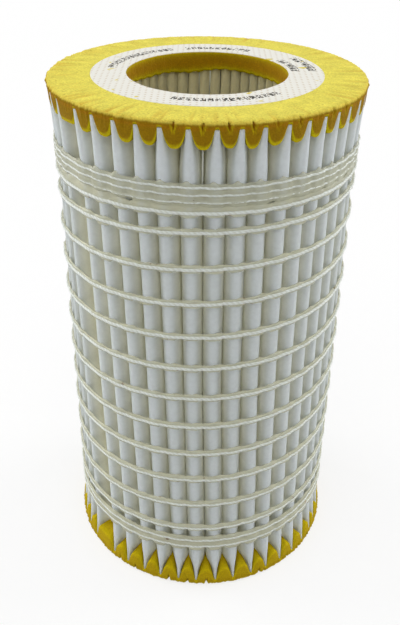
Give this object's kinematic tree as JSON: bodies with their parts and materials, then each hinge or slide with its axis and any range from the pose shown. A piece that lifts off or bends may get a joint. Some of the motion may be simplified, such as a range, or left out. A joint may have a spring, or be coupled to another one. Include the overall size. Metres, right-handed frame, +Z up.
{
  "type": "pleated filter element",
  "caption": "Round pleated filter element: white folded fleece around an open bore, bound with a wound thread, a soft yellow felt disc at each end.",
  "frame": {"origin": "middle of the face that the element stands on, on the axis of the bore", "axes": "+Z up the bore towards the disc with the label; the one wide valley between pleats lies about 51 degrees round from -Y towards -X"},
  "size_m": [0.083, 0.083, 0.149],
  "materials": {
    "fleece": "white non-woven filter fleece, matt and slightly see-through",
    "felt": "soft yellow felt with rough edges",
    "thread": "thread coated in cloudy melt, with a soft shine",
    "label": "white bonded fleece with a fine grid of points and dark marks"
  },
  "bodies": {
    "root": {"pleat_pack": "fleece", "top_end_disc": "felt", "bottom_end_disc": "felt", "winding": "thread", "label_ring": "label"}
  },
  "joints": []
}
